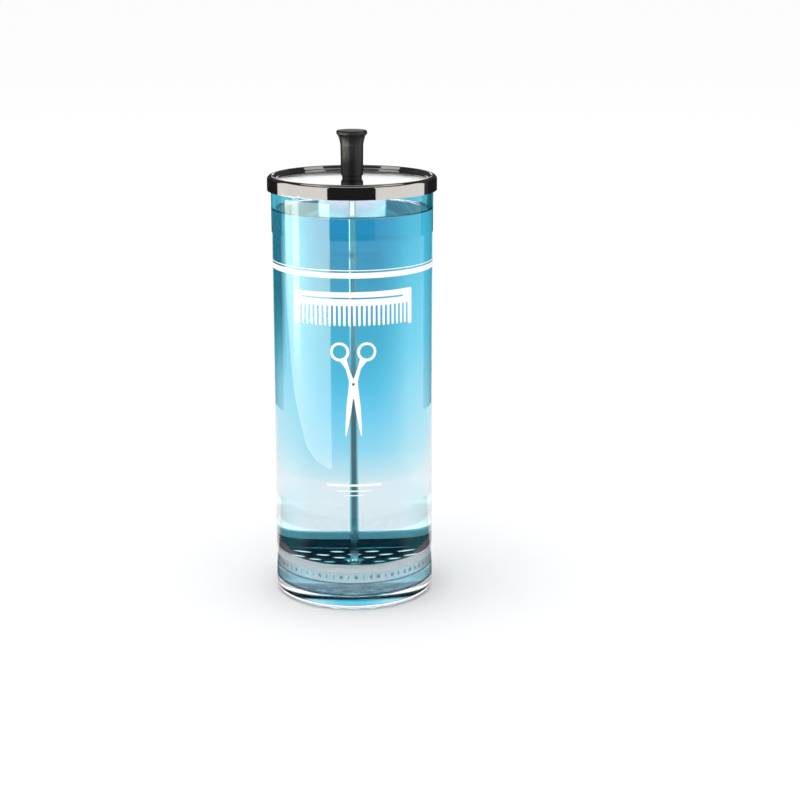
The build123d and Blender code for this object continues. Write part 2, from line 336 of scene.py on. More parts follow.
def tray_metal():
    """Rolled sheet pan coloured dark teal as a painted dark reflection; the rim's frosted band is teal grey, painted
    shade and teal tint, with a row of small stamped marks.
    """
    m, nt, b, out = new_mat("tray_steel")
    b.inputs["Metallic"].default_value = 1.0
    # teal specular tint: a painted reflection of the blue solution on the steel
    b.inputs["Specular Tint"].default_value = (0.10, 0.28, 0.32, 1)
    tc = nt.nodes.new("ShaderNodeTexCoord")
    sep = nt.nodes.new("ShaderNodeSeparateXYZ")
    nt.links.new(tc.outputs["Object"], sep.inputs[0])

    def math_node(op, a, c=None):
        n = nt.nodes.new("ShaderNodeMath")
        n.operation = op
        for i, v in enumerate((a, c)):
            if v is None:
                continue
            if isinstance(v, (int, float)):
                n.inputs[i].default_value = v
            else:
                nt.links.new(v, n.inputs[i])
        return n.outputs[0]

    x, y, z = sep.outputs[0], sep.outputs[1], sep.outputs[2]
    rad = math_node("SQRT", math_node("ADD", math_node("MULTIPLY", x, x), math_node("MULTIPLY", y, y)))
    outer = math_node("GREATER_THAN", rad, 46.3 * MM)
    grain = noise(nt, mapped(nt), 220.0, 6.0, 0.7)
    frost = noise(nt, mapped(nt), 1500.0, 3.0, 0.6)
    # pan colour: dark teal, a painted dark reflection in place of the steel's own grey; rim colour: frosted grain in
    # teal grey, painted shade and teal tint
    pan_with_painted_dark_reflection = ramp(nt, grain.outputs["Fac"], [(0.25, (0.035, 0.12, 0.145)), (0.8, (0.055, 0.165, 0.195))])
    rim_frost_with_painted_shade = ramp(nt, frost.outputs["Fac"], [(0.3, (0.28, 0.43, 0.48)), (0.7, (0.37, 0.53, 0.58))])
    # stamped marks: cells round the rim, each filled or left by its own noise value
    ang = math_node("ARCTAN2", y, x)
    cell = math_node("FLOOR", math_node("MULTIPLY", ang, 10.0))
    inner = math_node("FRACT", math_node("MULTIPLY", ang, 10.0))
    wn = nt.nodes.new("ShaderNodeTexWhiteNoise")
    wn.noise_dimensions = "1D"
    nt.links.new(cell, wn.inputs["W"])
    wide = math_node("ADD", math_node("MULTIPLY", wn.outputs["Value"], 0.42), 0.12)
    on = math_node("LESS_THAN", math_node("ABSOLUTE", math_node("SUBTRACT", inner, 0.5)), math_node("MULTIPLY", wide, 0.5))
    tall = math_node("LESS_THAN", math_node("ABSOLUTE", math_node("SUBTRACT", z, 20.8 * MM)), 1.1 * MM)
    mark = math_node("MULTIPLY", math_node("MULTIPLY", on, tall), outer)
    mx = nt.nodes.new("ShaderNodeMix")
    mx.data_type = "RGBA"
    nt.links.new(outer, mx.inputs[0])
    nt.links.new(pan_with_painted_dark_reflection.outputs[0], mx.inputs[6])
    nt.links.new(rim_frost_with_painted_shade.outputs[0], mx.inputs[7])
    dark = nt.nodes.new("ShaderNodeMix")
    dark.data_type = "RGBA"
    nt.links.new(math_node("MULTIPLY", mark, 0.85), dark.inputs[0])
    nt.links.new(mx.outputs[2], dark.inputs[6])
    dark.inputs[7].default_value = (0.03, 0.09, 0.12, 1)
    nt.links.new(dark.outputs[2], b.inputs["Base Color"])
    r_in = ramp(nt, grain.outputs["Fac"], [(0.2, (0.12,) * 3), (0.85, (0.24,) * 3)])
    mr = nt.nodes.new("ShaderNodeMix")
    mr.data_type = "RGBA"
    nt.links.new(outer, mr.inputs[0])
    nt.links.new(r_in.outputs[0], mr.inputs[6])
    mr.inputs[7].default_value = (0.42, 0.42, 0.42, 1)
    nt.links.new(mr.outputs[2], b.inputs["Roughness"])
    height = math_node("ADD", math_node("MULTIPLY", grain.outputs["Fac"], 0.3), mark)
    bump(nt, height, 0.25, 0.0003, b)
    return m


M_JAR = clear_plastic()
M_LIQ = solution()
M_LID = mirror_steel()
M_ROD = satin_steel("bright_rod", (0.74, 0.75, 0.75), (0.08, 0.2), (1, 1, 0.05))
M_TRAY = tray_metal()
M_NUT = satin_steel("nut_steel", (0.66, 0.67, 0.67), (0.16, 0.3), (1, 1, 1))
M_SPRING = satin_steel("spring_steel", (0.45, 0.46, 0.47), (0.25, 0.4), (1, 1, 1))
M_BRASS = satin_steel("turned_brass", (0.80, 0.60, 0.26), (0.18, 0.32), (1, 1, 25))
M_KNOB = moulded("black_knob", (0.018, 0.018, 0.020), 0.6, (0.22, 0.42), 420.0, 0.00012, 0.35)
M_RING = moulded("white_edging", (0.985, 0.98, 0.97), 0.94, (0.3, 0.45), 300.0)
M_LINER = moulded("liner_rubber", (0.80, 0.80, 0.77), 0.9, (0.5, 0.65), 260.0)
M_NYLON = moulded("black_nylon", (0.022, 0.022, 0.024), 0.7, (0.3, 0.45), 260.0)
M_INK = moulded("white_ink", (0.92, 0.93, 0.93), 0.95, (0.42, 0.6), 700.0, 0.00002, 0.2)

# =====================================================================================
# pieces
# =====================================================================================
# ---- jar: thick base, straight wall, rounded rim
JR, JI, JF, JH = 50.8, 48.3, 8.0, 265.6
jar_path = [(0, 0), (JR, 0), (JR, JH), (JI, JH), (JI, JF), (0, JF)]
jar = lathe("jar", fillet_path(jar_path, [0, 3.6, 0.9, 0.9, 2.4, 0], n=14), 256, closed=False)
put(jar, "jar", "jar_body", M_JAR)

# ---- solution: fills the jar to just under the lid, its skin just inside the wall's surface
LEVEL, LAP = 249.0, 0.12
men = []
for i in range(9):
    t = i / 8
    men.append((JI + LAP - 3.2 * t, LEVEL + 1.3 * (1 - t) ** 3))
liq_segs = fillet_path([(0, JF - LAP), (JI + LAP, JF - LAP), men[0]], [0, 2.4 + LAP, 0], n=14)
m_n = []
for i in range(len(men)):
    a, b2 = men[max(0, i - 1)], men[min(len(men) - 1, i + 1)]
    d = Vector((b2[0] - a[0], b2[1] - a[1])).normalized()
    m_n.append((d.y, -d.x))
m_n[-1] = (0, 1)
liq_segs.append([(men[i], m_n[i]) for i in range(len(men))])
liq_segs.append([((men[-1]), (0, 1)), ((0, LEVEL), (0, 1))])
liquid = lathe("solution", liq_segs, 256, closed=False)
put(liquid, "jar", None, M_LIQ)

# ---- lid: one pressed sheet with a raised bead
lid_out = [(4.90, 268.0), (47.4, 268.0), (49.4, 270.0), (53.15, 270.0), (53.15, 261.0)]
T = 0.8


def offset_path(points, t):
    """Parallel path, t to the right of the way along it."""
    res = []
    for i, p in enumerate(points):
        p = Vector(p)
        ns = []
        if i > 0:
            d = (p - Vector(points[i - 1])).normalized()
            ns.append(Vector((d.y, -d.x)))
        if i < len(points) - 1:
            d = (Vector(points[i + 1]) - p).normalized()
            ns.append(Vector((d.y, -d.x)))
        if len(ns) == 1:
            q = p + ns[0] * t
        else:
            b = (ns[0] + ns[1]).normalized()
            q = p + b * (t / b.dot(ns[0]))
        res.append((q.x, q.y))
    return res


def flipped(segs):
    return [[(p, (-n[0], -n[1])) for p, n in s] for s in segs]


def backwards(segs):
    return [list(reversed(s)) for s in reversed(segs)]


lid_under = offset_path(lid_out, T)
lid_segs = fillet_path(lid_under, [0, 1.6 + T, 1.6 - T, 2.6 - T, 0], n=14)
lid_segs.append(seg_line(lid_under[-1], lid_out[-1]))
lid_segs += backwards(flipped(fillet_path(lid_out, [0, 1.6, 1.6, 2.6, 0], n=14)))
lid_segs.append(seg_line(lid_out[0], lid_under[0]))
lid = lathe("lid", lid_segs, 256)
put(lid, "lid", "lid_shell", M_LID)


def loop(points, radii, n=8):
    return fillet_path(points, radii, closed=True, n=n)


def smooth_run(pts, first=None, last=None):
    out = []
    for i, p in enumerate(pts):
        a, b = pts[max(0, i - 1)], pts[min(len(pts) - 1, i + 1)]
        d = Vector((b[0] - a[0], b[1] - a[1])).normalized()
        out.append((p, (d.y, -d.x)))
    if first:
        out[0] = (pts[0], first)
    if last:
        out[-1] = (pts[-1], last)
    return out


def hermite(p0, t0, p1, t1, n=12):
    pts = []
    for i in range(n + 1):
        t = i / n
        h00, h10 = 2 * t**3 - 3 * t**2 + 1, t**3 - 2 * t**2 + t
        h01, h11 = -2 * t**3 + 3 * t**2, t**3 - t**2
        pts.append(tuple(h00 * p0[k] + h10 * t0[k] + h01 * p1[k] + h11 * t1[k] for k in (0, 1)))
    return pts


# ---- liner: soft ring inside the lid, with its rib in the bead
liner = lathe(
    "liner",
    loop(
        [(44.5, 265.6), (52.1, 265.6), (52.1, 267.2), (51.5, 267.2), (51.5, 268.9), (49.9, 268.9), (49.9, 267.2), (44.5, 267.2)],
        [0.35, 0.3, 0.1, 0, 0.4, 0.4, 0, 0.3],
        n=5,
    ),
    192,
)
put(liner, "lid", "lid_liner", M_LINER)

# ---- guide bushing
bushing = lathe(
    "bushing",
    loop(
        [(2.16, 256.0), (4.82, 256.0), (4.82, 268.0), (6.2, 268.0), (6.2, 269.0), (2.16, 269.0)],
        [0.3, 0.9, 0, 0.1, 0.4, 0.3],
        n=6,
    ),
    96,
)
put(bushing, "bushing", "rod_bushing", M_NYLON)

# ---- rod: ground bar with rolled thread at its lower end
ROD = 2.08


def thread_run(z0, z1, pitch=0.79, depth=0.16):
    pts = []
    turns = int((z1 - z0) / pitch)
    for i in range(turns * 4 + 1):
        z = z0 + (z1 - z0) * i / (turns * 4)
        pts.append((ROD - depth * (0.5 + 0.5 * math.cos(2 * math.pi * i / 4)), z))
    return pts


rod_pts = [(ROD - 0.4, 11.4), (ROD - 0.16, 11.7)] + thread_run(11.9, 25.5) + [(ROD, 26.2)]
rod_segs = [seg_line((0, 11.4), (ROD - 0.4, 11.4)), smooth_run(rod_pts, last=(1, 0))]
rod_segs.append([((ROD, 26.2 + i * (269.0 - 26.2) / 20), (1, 0)) for i in range(21)])
rod_segs.append([((ROD, 269.0), (1, 0)), ((ROD, 281.2), (1, 0))])
rod_segs.append(seg_line((ROD, 281.2), (ROD - 0.4, 281.6)))
rod_segs.append(seg_line((ROD - 0.4, 281.6), (0, 281.6)))
rod = lathe("rod", rod_segs, 96, closed=False)
put(rod, "lift", "lift_rod", M_ROD)

# ---- knob: slim neck, flared head, soft edges
KB, KT = 269.8, 297.5
k1 = hermite((7.15, 288.1), (0.05, 4.2), (8.65, 294.1), (1.9, 3.6), 14)
k2 = hermite((8.65, 294.1), (0.95, 1.5), (9.6, 295.7), (0.05, 1.3), 8)
knob_side = [(6.60 + 0.35 * math.sin(math.radians(a)), KB + 0.35 - 0.35 * math.cos(math.radians(a))) for a in range(0, 91, 15)]
knob_side += [(6.95 + (7.15 - 6.95) * i / 10, KB + 0.35 + (288.1 - KB - 0.35) * i / 10) for i in range(1, 11)]
knob_side += k1[1:] + k2[1:]
knob_side += [(9.6, 296.2)]
knob_side += [(8.7 + 0.9 * math.cos(math.radians(a)), 296.6 + 0.9 * math.sin(math.radians(a))) for a in range(0, 91, 9)]
# the socket is walked so that the outside of the solid stays on the right-hand side
knob_segs = [
    [((0, 281.62), (0, -1)), ((3.92, 281.62), (0, -1))],
    [((3.92, 281.62), (-1, 0)), ((3.92, KB), (-1, 0))],
    [((3.92, KB), (0, -1)), ((6.60, KB), (0, -1))],
    smooth_run(knob_side, first=(0, -1), last=(0, 1)),
    [((8.7, KT), (0, 1)), ((4.0, KT), (0, 1)), ((0, KT), (0, 1))],
]
knob = lathe("knob", knob_segs, 128, closed=False)
put(knob, "lift", "knob_grip", M_KNOB)

# ---- white edging on the tray's rim
ring = lathe(
    "tray_edging",
    loop(
        [(44.7, 23.9), (45.6, 23.9), (45.6, 27.4), (46.6, 27.4), (46.6, 23.9), (47.5, 23.9), (47.5, 29.0), (44.7, 29.0)],
        [0.25, 0, 0, 0, 0, 0.25, 0.9, 0.9],
        n=8,
    ),
    256,
)
put(ring, "lift", "tray_rim_ring", M_RING)

# ---- tray: pressed pan, then its drain holes punched through
tray_out = [(2.13, 16.0), (46.6, 16.0), (46.6, 27.3)]
tray_in = [(2.13, 17.0), (45.6, 17.0), (45.6, 27.3)]
tray_segs = fillet_path(tray_out, [0, 2.0, 0], n=12)
tray_segs.append(seg_line(tray_out[-1], tray_in[-1]))
tray_segs += backwards(flipped(fillet_path(tray_in, [0, 1.0, 0], n=12)))
tray_segs.append(seg_line(tray_in[0], tray_out[0]))
tray = lathe("tray_pan", tray_segs, 192)
bm = bmesh.new()
for ring_r, count, start in ((8.0, 4, 0.0), (15.8, 8, 0.0), (23.7, 12, 15.0), (31.7, 16, 0.0), (39.8, 20, 9.0)):
    for i in range(count):
        a = math.radians(start + 360 * i / count)
        made = bmesh.ops.create_cone(bm, cap_ends=True, segments=40, radius1=3.3 * MM, radius2=3.3 * MM, depth=4 * MM)
        bmesh.ops.translate(bm, verts=made["verts"], vec=(ring_r * MM * math.cos(a), ring_r * MM * math.sin(a), 16.5 * MM))
punch_me = bpy.data.meshes.new("punches")
bm.to_mesh(punch_me)
bm.free()
punch = bpy.data.objects.new("punches", punch_me)
scene.collection.objects.link(punch)
mod = tray.modifiers.new("holes", "BOOLEAN")
mod.operation, mod.solver, mod.object = "DIFFERENCE", "EXACT", punch
dg = bpy.context.evaluated_depsgraph_get()
cut = bpy.data.meshes.new_from_object(tray.evaluated_get(dg))
tray.modifiers.clear()
tray.data = cut
bpy.data.objects.remove(punch)
if "custom_normal" in cut.attributes:
    cut.attributes.remove(cut.attributes["custom_normal"])
cut.polygons.foreach_set("use_smooth", [True] * len(cut.polygons))
cut.set_sharp_from_angle(angle=math.radians(35))
put(tray, "lift", "tray", M_TRAY)


# ---- hexagon nuts, built as turned hexagons
def hexnut(name, z0, z1, af, cap=False):
    bm = bmesh.new()
    segs, rows = 96, []
    corner = af / math.sqrt(3)
    zs = []
    if not cap:
        zs = [(z0 + 0.5 * i / 4, af / 2 - 0.1 + (corner + 0.02 - af / 2 + 0.1) * i / 4) for i in range(5)]
    else:
        dome = [(0.35, 0.0), (1.4, 0.12), (2.4, 0.42), (3.1, 0.85), (3.6, 1.35), (3.9, 1.9), (4.25, 2.2), (corner + 0.02, 2.6)]
        zs = [(z0 + dz, r) for r, dz in dome]
    for i in range(1, 8):
        low = z0 + (2.6 if cap else 0.5)
        zs.append((low + (z1 - 0.5 - low) * i / 7, corner + 0.02))
    for i in range(1, 5):
        t = i / 4
        zs.append((z1 - 0.5 + 0.5 * t, corner + 0.02 - (corner + 0.02 - af / 2 + 0.1) * t))
    for z, rmax in zs:
        row = []
        for j in range(segs):
            a = 2 * math.pi * j / segs
            k = math.cos(((a + math.pi / 6) % (math.pi / 3)) - math.pi / 6)
            r = min(rmax, af / 2 / k)
            row.append(bm.verts.new((r * MM * math.cos(a + math.pi / 2), r * MM * math.sin(a + math.pi / 2), z * MM)))
        rows.append(row)
    for a, b in zip(rows, rows[1:]):
        for j in range(segs):
            k = (j + 1) % segs
            bm.faces.new((a[j], a[k], b[k], b[j]))
    top = []
    inner = 2.1
    for j in range(segs):
        a = 2 * math.pi * j / segs + math.pi / 2
        top.append(bm.verts.new((inner * MM * math.cos(a), inner * MM * math.sin(a), z1 * MM)))
    for j in range(segs):
        k = (j + 1) % segs
        bm.faces.new((rows[-1][j], rows[-1][k], top[k], top[j]))
    if cap:
        bm.faces.new(list(reversed(rows[0])))
        low = []
        for j in range(segs):
            a = 2 * math.pi * j / segs + math.pi / 2
            low.append(bm.verts.new((inner * MM * math.cos(a), inner * MM * math.sin(a), 11.4 * MM)))
        for j in range(segs):
            k = (j + 1) % segs
            bm.faces.new((top[j], top[k], low[k], low[j]))
        bm.faces.new(low)
    else:
        bot = []
        for j in range(segs):
            a = 2 * math.pi * j / segs + math.pi / 2
            bot.append(bm.verts.new((inner * MM * math.cos(a), inner * MM * math.sin(a), z0 * MM)))
        for j in range(segs):
            k = (j + 1) % segs
            bm.faces.new((top[j], top[k], bot[k], bot[j]))
            bm.faces.new((bot[j], bot[k], rows[0][k], rows[0][j]))
    bmesh.ops.recalc_face_normals(bm, faces=bm.faces)
    me = bpy.data.meshes.new(name)
    bm.to_mesh(me)
    bm.free()
    me.polygons.foreach_set("use_smooth", [True] * len(me.polygons))
    me.set_sharp_from_angle(angle=math.radians(25))
    o = bpy.data.objects.new(name, me)
    scene.collection.objects.link(o)
    return o


put(hexnut("tray_top_nut", 17.8, 21.1, 8.73), "lift", "tray_nut", M_NUT)
put(hexnut("tray_end_nut", 10.0, 15.2, 8.73, True), "lift", "tray_cap_nut", M_NUT)


def washer(name, z0, t, r_in, r_out):
    return lathe(name, loop([(r_in, z0), (r_out, z0), (r_out, z0 + t), (r_in, z0 + t)], [0.08, 0.18, 0.18, 0.08], n=4), 96)


put(washer("washer_over_tray", 17.0, 0.8, 2.13, 4.75), "lift", "tray_washer_upper", M_NUT)
put(washer("washer_under_tray", 15.2, 0.8, 2.13, 4.75), "lift", "tray_washer_lower", M_NUT)
put(washer("washer_under_knob", 269.0, 0.8, 2.13, 6.3), "lift", "knob_washer", M_KNOB)

for n, m in (("bushing_clip", M_SPRING), ("knob_insert", M_BRASS)):
    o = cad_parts[n]
    o.data.materials.clear()
    o.data.materials.append(m)


# =====================================================================================
# white print on the jar: flat shapes (width along the wall, height) wrapped on it
# =====================================================================================
INK_R = JR + 0.04


def wrap_shapes(name, splines, thick=0.05, step=1.2):
    """splines: lists of (s, z) in mm, closed. Inner ones cut holes."""
    cu = bpy.data.curves.new(name + "_c", "CURVE")
    cu.dimensions, cu.fill_mode = "2D", "BOTH"
    for pts in splines:
        sp = cu.splines.new("POLY")
        sp.points.add(len(pts) - 1)
        for k, (x, y) in enumerate(pts):
            sp.points[k].co = (x, y, 0, 1)
        sp.use_cyclic_u = True
    tmp = bpy.data.objects.new(name + "_t", cu)
    scene.collection.objects.link(tmp)
    dg = bpy.context.evaluated_depsgraph_get()
    me = bpy.data.meshes.new_from_object(tmp.evaluated_get(dg))
    bpy.data.objects.remove(tmp)
    bm = bmesh.new()
    bm.from_mesh(me)
    bmesh.ops.remove_doubles(bm, verts=bm.verts, dist=1e-4)
    xs = [v.co.x for v in bm.verts]
    x = math.ceil(min(xs) / step) * step
    while x < max(xs):
        bmesh.ops.bisect_plane(bm, geom=bm.verts[:] + bm.edges[:] + bm.faces[:], plane_co=(x, 0, 0), plane_no=(1, 0, 0), dist=1e-5)
        x += step
    for f in bm.faces:
        if f.normal.z < 0:
            f.normal_flip()
    low = {v: v.co.copy() for v in bm.verts}
    made = bmesh.ops.extrude_face_region(bm, geom=bm.faces[:])
    new = {g for g in made["geom"] if isinstance(g, bmesh.types.BMVert)}
    for v in bm.verts:
        r = (INK_R + (thick if v in new else 0)) * MM
        a = v.co.x / INK_R
        z = v.co.y * MM
        v.co = Vector((r * math.sin(a), -r * math.cos(a), z))
    bmesh.ops.recalc_face_normals(bm, faces=bm.faces)
    out = bpy.data.meshes.new(name)
    bm.to_mesh(out)
    bm.free()
    out.polygons.foreach_set("use_smooth", [True] * len(out.polygons))
    out.set_sharp_from_angle(angle=math.radians(40))
    o = bpy.data.objects.new(name, out)
    scene.collection.objects.link(o)
    put(o, "jar", None, M_INK)
    return o


def rect(x0, y0, x1, y1):
    return [(x0, y0), (x1, y0), (x1, y1), (x0, y1)]


def round_rect(x0, y0, x1, y1, r, n=5):
    pts = []
    for cx, cy, a0 in ((x1 - r, y0 + r, -90), (x1 - r, y1 - r, 0), (x0 + r, y1 - r, 90), (x0 + r, y0 + r, 180)):
        for i in range(n + 1):
            a = math.radians(a0 + 90 * i / n)
            pts.append((cx + r * math.cos(a), cy + r * math.sin(a)))
    return pts


def circle(cx, cy, r, n=48):
    return [(cx + r * math.cos(2 * math.pi * i / n), cy + r * math.sin(2 * math.pi * i / n)) for i in range(n)]


HALF = math.pi / 2 * INK_R * 1.02
wrap_shapes("print_band", [rect(-HALF, 213.4, HALF, 216.8)])
wrap_shapes("print_line", [rect(-HALF, 217.9, HALF, 218.5)])

# comb: a spine with even teeth and two stout end teeth
comb = [(-39, 205.5), (39, 205.5), (40, 204.5), (40, 184.0), (38.6, 182.6), (36.8, 184.0), (36.6, 196.5)]
n_teeth = 24
w = 73.2 / n_teeth
x = 36.6
for i in range(n_teeth):
    x0, x1 = x - w * 0.42, x - w
    comb += [(x0, 196.5), (x0 - 0.12, 184.6), ((x0 + x1) / 2, 183.8), (x1 + 0.12, 184.6), (x1, 196.5)]
    x -= w
comb = [(px, pz) for px, pz in comb if px > -36.7]
comb += [(-36.6, 196.5), (-36.8, 184.0), (-38.6, 182.6), (-40, 184.0), (-40, 204.5)]
comb_line = round_rect(-33, 200.6, 33, 201.6, 0.45, 3)
wrap_shapes("print_comb", [comb, comb_line])


# shears below it: one outline for both halves, finger rings up, blades down
def arc_pts(c, r, a0, a1, n=30):
    return [(c[0] + r * math.cos(math.radians(a0 + (a1 - a0) * i / n)), c[1] + r * math.sin(math.radians(a0 + (a1 - a0) * i / n))) for i in range(n + 1)]


EYE = (8.3, 167.8)
half = [(0.0, 150.6), (2.6, 157.6)] + arc_pts(EYE, 6.0, 226, -92) + [(4.6, 157.2), (2.7, 149.6), (2.9, 146.0)]
half += [(4.3, 134.0), (5.0, 122.5), (5.1, 115.0), (4.6, 114.2), (3.2, 120.5), (1.5, 129.5), (0.35, 138.2)]
shears = half + [(-px, pz) for px, pz in reversed(half)][:-1]
eyes = [circle(EYE[0] + 0.1, EYE[1] + 0.1, 4.3), circle(-EYE[0] - 0.1, EYE[1] + 0.1, 4.3)]
wrap_shapes("print_shears", [shears] + eyes + [circle(0, 147.6, 0.85, 24)])

# two short rules low on the jar
wrap_shapes("print_rules", [rect(-17, 82.0, 17, 83.4), rect(-11, 78.6, 11, 79.4), rect(-6, 75.8, 6, 76.4)])

# =====================================================================================
# stage: pale table, soft light, camera
# =====================================================================================
def stage_mat(name, colour=None, strength=None, rough=0.5, spec=0.5):
    m, nt, b, out = new_mat(name)
    if strength is not None:
        e = nt.nodes.new("ShaderNodeEmission")
        e.inputs["Color"].default_value = (*colour, 1)
        e.inputs["Strength"].default_value = strength
        nt.links.new(e.outputs[0], out.inputs[0])
        m.cycles.emission_sampling = "NONE"
    else:
        b.inputs["Base Color"].default_value = (*colour, 1)
        b.inputs["Roughness"].default_value = rough
        b.inputs["Specular IOR Level"].default_value = spec
    return m


def only(obj, glossy=False, transmission=False, diffuse=False):
    obj.visible_camera = False
    obj.visible_shadow = False
    obj.visible_volume_scatter = False
    obj.visible_diffuse = diffuse
    obj.visible_glossy = glossy
    obj.visible_transmission = transmission


# table: one wide pale plane, a hair below the foot so that the clear base keeps its inner reflection
me = bpy.data.meshes.new("table")
me.from_pydata([(-20, -8, -0.0002), (20, -8, -0.0002), (20, 40, -0.0002), (-20, 40, -0.0002)], [], [(0, 1, 2, 3)])
table = bpy.data.objects.new("table", me)
scene.collection.objects.link(table)
tm, nt, b, out = new_mat("pale_table")
b.inputs["Base Color"].default_value = (0.92, 0.92, 0.925, 1)
b.inputs["Roughness"].default_value = 0.07
tc = nt.nodes.new("ShaderNodeTexCoord")
ln = nt.nodes.new("ShaderNodeVectorMath")
ln.operation = "LENGTH"
nt.links.new(tc.outputs["Object"], ln.inputs[0])
gl = nt.nodes.new("ShaderNodeMapRange")
gl.interpolation_type = "SMOOTHSTEP"
for k, v in (("From Min", 0.09), ("From Max", 0.26), ("To Min", 0.25), ("To Max", 0.0)):
    gl.inputs[k].default_value = v
nt.links.new(ln.outputs["Value"], gl.inputs["Value"])
nt.links.new(gl.outputs[0], b.inputs["Specular IOR Level"])
me.materials.append(tm)

# light box seen only through the clear pieces: bright and low behind them, deeper blue above
halo_pts = [(58 + 8 * i, 0.35) for i in range(25)] + [(250, 0.35 + 16 * i) for i in range(90)]
bm = bmesh.new()
N = 96
rings = []
for r, z in halo_pts:
    rings.append([bm.verts.new((r * MM * math.cos(2 * math.pi * j / N), r * MM * math.sin(2 * math.pi * j / N), z * MM)) for j in range(N)])
for a, b in zip(rings, rings[1:]):
    for j in range(N):
        k = (j + 1) % N
        bm.faces.new((a[j], a[k], b[k], b[j]))
me = bpy.data.meshes.new("light_box")
bm.to_mesh(me)
bm.free()
halo = bpy.data.objects.new("light_box", me)
scene.collection.objects.link(halo)
hm, nt, b, out = new_mat("light_box_glow")
tc = nt.nodes.new("ShaderNodeTexCoord")
sep = nt.nodes.new("ShaderNodeSeparateXYZ")
nt.links.new(tc.outputs["Object"], sep.inputs[0])


def mop(op, a, c=None):
    n = nt.nodes.new("ShaderNodeMath")
    n.operation = op
    for i, v in enumerate((a, c)):
        if v is None:
            continue
        if isinstance(v, (int, float)):
            n.inputs[i].default_value = v
        else:
            nt.links.new(v, n.inputs[i])
    return n.outputs[0]


def step(src, lo, hi, y0=0.0, y1=1.0):
    n = nt.nodes.new("ShaderNodeMapRange")
    n.interpolation_type = "SMOOTHSTEP"
    for k, v in (("From Min", lo), ("From Max", hi), ("To Min", y0), ("To Max", y1)):
        n.inputs[k].default_value = v
    nt.links.new(src, n.inputs["Value"])
    return n.outputs[0]


def mixc(fac, a, c):
    n = nt.nodes.new("ShaderNodeMix")
    n.data_type = "RGBA"
    nt.links.new(fac, n.inputs[0])
    for i, v in ((6, a), (7, c)):
        if isinstance(v, tuple):
            n.inputs[i].default_value = (*v, 1)
        else:
            nt.links.new(v, n.inputs[i])
    return n.outputs[2]


S = 16.0
hx, hy, hz = sep.outputs[0], sep.outputs[1], sep.outputs[2]
mr = nt.nodes.new("ShaderNodeMapRange")
mr.inputs["From Min"].default_value = 0.0
mr.inputs["From Max"].default_value = 0.5
nt.links.new(hz, mr.inputs["Value"])


def by_height(stops):
    return ramp(nt, mr.outputs[0], [(p / 0.5, tuple(x / S for x in c)) for p, c in stops]).outputs[0]


TOP = [(0.36, (0.5, 0.7, 0.8)), (0.41, (15.5, 13.6, 13.6))]
centre = by_height([(0.0, (1.81, 1.114, 1.08)), (0.003, (1.40, 1.06, 1.055)), (0.027, (0.63, 0.895, 1.055)), (0.0515, (0.35, 0.793, 1.03)),
                    (0.075, (0.14, 0.66, 0.915)), (0.107, (0.034, 0.514, 0.70)), (0.162, (0.022, 0.352, 0.535)), (0.204, (0.013, 0.295, 0.549)),
                    (0.30, (0.015, 0.28, 0.48))] + TOP)
side = by_height([(0.0, (1.50, 1.10, 1.08)), (0.003, (1.32, 1.07, 1.06)), (0.027, (0.86, 0.98, 1.05)), (0.0515, (0.68, 0.94, 1.05)),
                  (0.075, (0.54, 0.89, 1.04)), (0.107, (0.30, 0.80, 0.99)), (0.162, (0.17, 0.68, 0.87)), (0.204, (0.10, 0.58, 0.78)),
                  (0.30, (0.09, 0.52, 0.68))] + TOP)
front = by_height([(0.0, (0.06, 0.18, 0.22)), (0.07, (0.05, 0.20, 0.26)), (0.12, (0.20, 0.55, 0.70)), (0.24, (0.28, 0.68, 0.88)), (0.30, (6.0, 5.6, 5.6)), (0.36, (12.0, 10.8, 10.8))] + TOP[1:])
az = mop("MULTIPLY", mop("ARCTAN2", hx, hy), 180 / math.pi)
az_abs = mop("ABSOLUTE", az)
rad = mop("SQRT", mop("ADD", mop("MULTIPLY", hx, hx), mop("MULTIPLY", hy, hy)))
col = mixc(step(az_abs, 3.0, 18.0), centre, side)
dark_edge = mop("MULTIPLY", mop("MULTIPLY", step(az, 24.5, 28.5), step(az, 52.0, 58.0, 1.0, 0.0)), step(hz, 0.06, 0.15))
col = mixc(dark_edge, col, (0.01 / S, 0.13 / S, 0.17 / S))
col = mixc(step(az_abs, 80.0, 125.0), col, front)
flank = mop("MULTIPLY", mop("MULTIPLY", step(az_abs, 50.0, 64.0), step(az_abs, 96.0, 118.0, 1.0, 0.0)), step(hz, 0.002, 0.014, 1.0, 0.0))
col = mixc(flank, col, (0.22 / S, 0.85 / S, 0.98 / S))
glint = mop("MULTIPLY", mop("MULTIPLY", step(az, -105.0, -102.5), step(az, -92.5, -90.0, 1.0, 0.0)), mop("MULTIPLY", step(hz, 0.09, 0.16), step(hz, 0.36, 0.42, 1.0, 0.0)))
col = mixc(glint, col, (5.5 / S, 5.8 / S, 6.0 / S))
inner = mop("ADD", mop("MULTIPLY", step(az_abs, 70.0, 110.0), 0.120), mop("MULTIPLY", step(az_abs, 70.0, 110.0, 1.0, 0.0), 0.124))
col = mixc(step(mop("SUBTRACT", rad, inner), 0.0, 0.012), mixc(step(az_abs, 70.0, 110.0), (1.9 / S, 1.5 / S, 1.42 / S), (2.4 / S, 2.5 / S, 2.55 / S)), col)
e = nt.nodes.new("ShaderNodeEmission")
e.inputs["Strength"].default_value = S
nt.links.new(col, e.inputs["Color"])
nt.links.new(e.outputs[0], out.inputs[0])
hm.cycles.emission_sampling = "NONE"
me.materials.append(hm)
only(halo, transmission=True)


